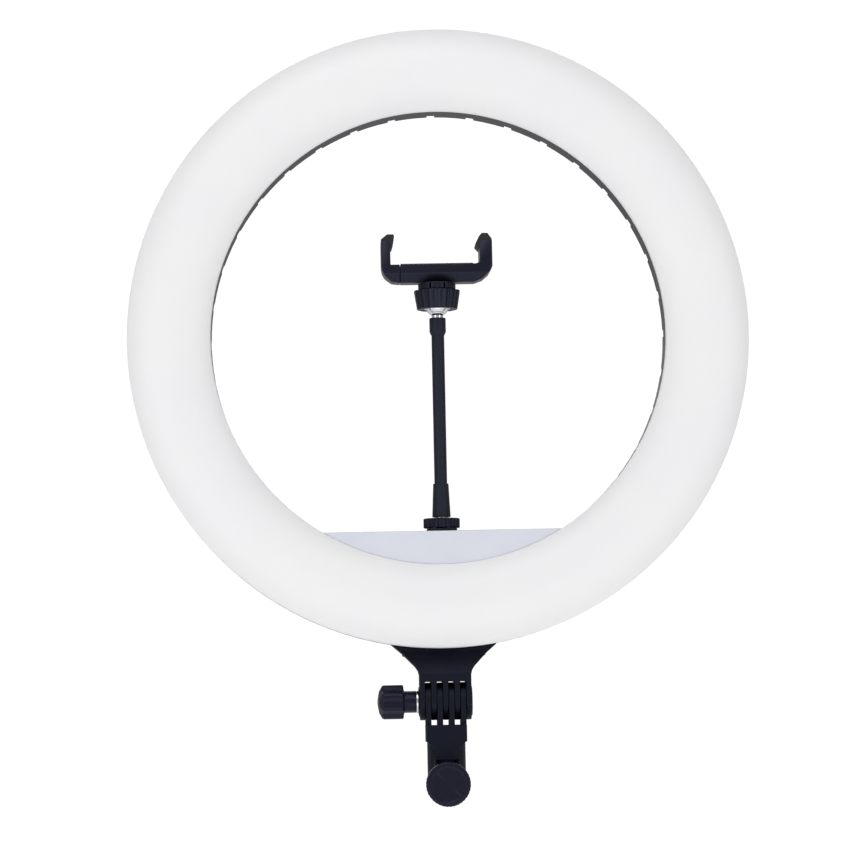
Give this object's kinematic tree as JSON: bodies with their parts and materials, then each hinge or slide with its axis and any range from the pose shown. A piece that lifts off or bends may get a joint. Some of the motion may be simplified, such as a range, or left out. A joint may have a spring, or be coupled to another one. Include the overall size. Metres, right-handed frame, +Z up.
{
  "type": "ring light",
  "caption": "Ring light with an opal diffuser, rear dimmer dials, a flexible-neck phone clamp in the opening and a tilting stand socket.",
  "frame": {"origin": "centre of the stand socket's open mouth, where the spigot goes in", "axes": "+Z up along the socket's bore, the lit face looks along -Y, +X to the right of someone facing the lit side"},
  "size_m": [0.45, 0.065, 0.563],
  "materials": {
    "opal_plastic": "milky translucent moulding, satin",
    "white_abs": "satin moulded",
    "black_abs": "fine moulded texture",
    "black_nylon": "glass-filled, satin moulded",
    "knob_plastic": "satin moulded",
    "gloss_black": "polished moulding",
    "clamp_plastic": "satin moulded",
    "grip_rubber": "matt",
    "neck_sleeve": "smooth matt sleeve over steel links",
    "shoe_metal": "black anodised",
    "zinc_steel": "bright zinc plate",
    "chrome": "polished",
    "brass": "turned",
    "liner_nylon": "natural nylon",
    "board_mask": "white solder mask on aluminium",
    "green_board": "green solder mask",
    "warm_phosphor": "amber phosphor gel",
    "cool_phosphor": "pale yellow phosphor gel",
    "parts_plastic": "moulded",
    "wire_skin": "soft PVC",
    "spring_steel": "drawn wire"
  },
  "bodies": {
    "stand": {"stand_adapter": "black_nylon", "thumb_insert": "brass"},
    "pad": {"pressure_pad": "brass"},
    "thumbscrew": {"thumb_screw": "zinc_steel", "thumb_knob": "knob_plastic"},
    "head": {"diffuser": "opal_plastic", "chord_cover": "white_abs", "rear_housing": "black_abs", "led_board_left": "board_mask", "led_board_right": "board_mask", "warm_leds": "warm_phosphor", "cool_leds": "cool_phosphor", "led_leads": "wire_skin", "driver_board": "green_board", "driver_parts": "parts_plastic", "dc_inlet": "gloss_black", "power_switch": "gloss_black", "brightness_pot": "zinc_steel", "colour_pot": "zinc_steel", "cold_shoe": "shoe_metal", "housing_screws": "zinc_steel", "board_screws": "zinc_steel", "tilt_bracket": "black_nylon", "bracket_screws": "zinc_steel", "hinge_bolt": "zinc_steel"},
    "washer": {"hinge_washer": "chrome"},
    "tilt_knob": {"hinge_knob": "knob_plastic"},
    "rocker": {"power_rocker": "gloss_black"},
    "brightness_dial": {"brightness_shaft": "zinc_steel", "brightness_knob": "knob_plastic"},
    "colour_dial": {"colour_shaft": "zinc_steel", "colour_knob": "knob_plastic"},
    "foot": {"shoe_foot": "zinc_steel", "lower_collar": "neck_sleeve"},
    "wheel": {"shoe_wheel": "knob_plastic"},
    "link_1": {"neck_link_1": "neck_sleeve"},
    "link_2": {"neck_link_2": "neck_sleeve"},
    "link_3": {"neck_link_3": "neck_sleeve"},
    "link_4": {"neck_link_4": "neck_sleeve"},
    "link_5": {"neck_link_5": "neck_sleeve"},
    "link_6": {"neck_link_6": "neck_sleeve"},
    "link_7": {"neck_link_7": "neck_sleeve"},
    "link_8": {"neck_link_8": "neck_sleeve"},
    "link_9": {"neck_link_9": "neck_sleeve"},
    "link_10": {"neck_link_10": "neck_sleeve", "upper_collar": "neck_sleeve"},
    "ball": {"ball_stud": "chrome"},
    "liner": {"ball_liner": "liner_nylon"},
    "clamp": {"clamp_body": "clamp_plastic", "right_grip": "grip_rubber", "back_pad": "grip_rubber", "guide_rods": "zinc_steel", "clamp_spring": "spring_steel"},
    "lock": {"lock_ring": "clamp_plastic"},
    "jaw": {"left_jaw": "clamp_plastic", "left_grip": "grip_rubber"}
  },
  "joints": [
    {"name": "head_tilt", "type": "hinge", "parent": "stand", "child": "head", "pos_m": [0, 0, 0.067], "axis": [1, 0, 0], "range_deg": [-90, 90]},
    {"name": "washer_travel", "type": "slide", "parent": "head", "child": "washer", "axis": [-1, 0, 0], "range_m": [0, 0.0015]},
    {"name": "tilt_knob_turn", "type": "hinge", "parent": "washer", "child": "tilt_knob", "pos_m": [-0.03, 0, 0.067], "axis": [-1, 0, 0], "range_deg": [0, 541]},
    {"name": "pad_travel", "type": "slide", "parent": "stand", "child": "pad", "axis": [0, 1, 0], "range_m": [-0.002, 0.002]},
    {"name": "thumbscrew_turn", "type": "hinge", "parent": "pad", "child": "thumbscrew", "pos_m": [0, -0.02, 0.008], "axis": [0, 1, 0], "range_deg": [-721, 721]},
    {"name": "rocker_tip", "type": "hinge", "parent": "head", "child": "rocker", "pos_m": [0, 0.0148, 0.1772], "axis": [0, 0, 1], "range_deg": [-20, 0]},
    {"name": "brightness_turn", "type": "hinge", "parent": "head", "child": "brightness_dial", "pos_m": [-0.048, 0.02, 0.141], "axis": [0, -1, 0], "range_deg": [0, 300]},
    {"name": "colour_turn", "type": "hinge", "parent": "head", "child": "colour_dial", "pos_m": [0.048, 0.02, 0.141], "axis": [0, -1, 0], "range_deg": [0, 300]},
    {"name": "holder_slide", "type": "slide", "parent": "head", "child": "foot", "axis": [0, 1, 0], "range_m": [0, 0.015]},
    {"name": "wheel_turn", "type": "hinge", "parent": "foot", "child": "wheel", "pos_m": [0, 0.003, 0.195], "axis": [0, 0, 1], "range_deg": [0, 360]},
    {"name": "neck_forward_1", "type": "hinge", "parent": "foot", "child": "link_1", "pos_m": [0, 0.003, 0.2275], "axis": [1, 0, 0], "range_deg": [-18, 18]},
    {"name": "neck_sideways_1", "type": "hinge", "parent": "link_1", "child": "link_2", "pos_m": [0, 0.003, 0.2379], "axis": [0, 1, 0], "range_deg": [-14, 14]},
    {"name": "neck_forward_2", "type": "hinge", "parent": "link_2", "child": "link_3", "pos_m": [0, 0.003, 0.2483], "axis": [1, 0, 0], "range_deg": [-18, 18]},
    {"name": "neck_sideways_2", "type": "hinge", "parent": "link_3", "child": "link_4", "pos_m": [0, 0.003, 0.2587], "axis": [0, 1, 0], "range_deg": [-14, 14]},
    {"name": "neck_forward_3", "type": "hinge", "parent": "link_4", "child": "link_5", "pos_m": [0, 0.003, 0.2691], "axis": [1, 0, 0], "range_deg": [-18, 18]},
    {"name": "neck_sideways_3", "type": "hinge", "parent": "link_5", "child": "link_6", "pos_m": [0, 0.003, 0.2795], "axis": [0, 1, 0], "range_deg": [-14, 14]},
    {"name": "neck_forward_4", "type": "hinge", "parent": "link_6", "child": "link_7", "pos_m": [0, 0.003, 0.2899], "axis": [1, 0, 0], "range_deg": [-18, 18]},
    {"name": "neck_sideways_4", "type": "hinge", "parent": "link_7", "child": "link_8", "pos_m": [0, 0.003, 0.3003], "axis": [0, 1, 0], "range_deg": [-14, 14]},
    {"name": "neck_forward_5", "type": "hinge", "parent": "link_8", "child": "link_9", "pos_m": [0, 0.003, 0.3107], "axis": [1, 0, 0], "range_deg": [-18, 18]},
    {"name": "neck_sideways_5", "type": "hinge", "parent": "link_9", "child": "link_10", "pos_m": [0, 0.003, 0.3211], "axis": [0, 1, 0], "range_deg": [-14, 14]},
    {"name": "ball_yaw", "type": "hinge", "parent": "link_10", "child": "ball", "pos_m": [0, 0.003, 0.355], "axis": [0, 0, 1], "continuous": true},
    {"name": "ball_pitch", "type": "hinge", "parent": "ball", "child": "liner", "pos_m": [0, 0.003, 0.355], "axis": [1, 0, 0], "range_deg": [-20, 20]},
    {"name": "ball_roll", "type": "hinge", "parent": "liner", "child": "clamp", "pos_m": [0, 0.003, 0.355], "axis": [0, 1, 0], "range_deg": [-20, 20]},
    {"name": "lock_ring_turn", "type": "hinge", "parent": "clamp", "child": "lock", "pos_m": [0, 0.003, 0.355], "axis": [0, 0, 1], "range_deg": [0, 120]},
    {"name": "jaw_slide", "type": "slide", "parent": "clamp", "child": "jaw", "axis": [-1, 0, 0], "range_m": [0, 0.03], "stiffness_N_per_m": 150, "springref_m": -0.012, "deforming": ["clamp_spring"]}
  ],
  "couplings": [
    {"joint": "tilt_knob_turn", "follows": "washer_travel", "rad_per_m": 6283.2},
    {"joint": "thumbscrew_turn", "follows": "pad_travel", "rad_per_m": 6283.2},
    {"joint": "neck_forward_2", "follows": "neck_forward_1", "ratio": 1},
    {"joint": "neck_sideways_2", "follows": "neck_sideways_1", "ratio": 1},
    {"joint": "neck_forward_3", "follows": "neck_forward_1", "ratio": 1},
    {"joint": "neck_sideways_3", "follows": "neck_sideways_1", "ratio": 1},
    {"joint": "neck_forward_4", "follows": "neck_forward_1", "ratio": 1},
    {"joint": "neck_sideways_4", "follows": "neck_sideways_1", "ratio": 1},
    {"joint": "neck_forward_5", "follows": "neck_forward_1", "ratio": 1},
    {"joint": "neck_sideways_5", "follows": "neck_sideways_1", "ratio": 1}
  ]
}
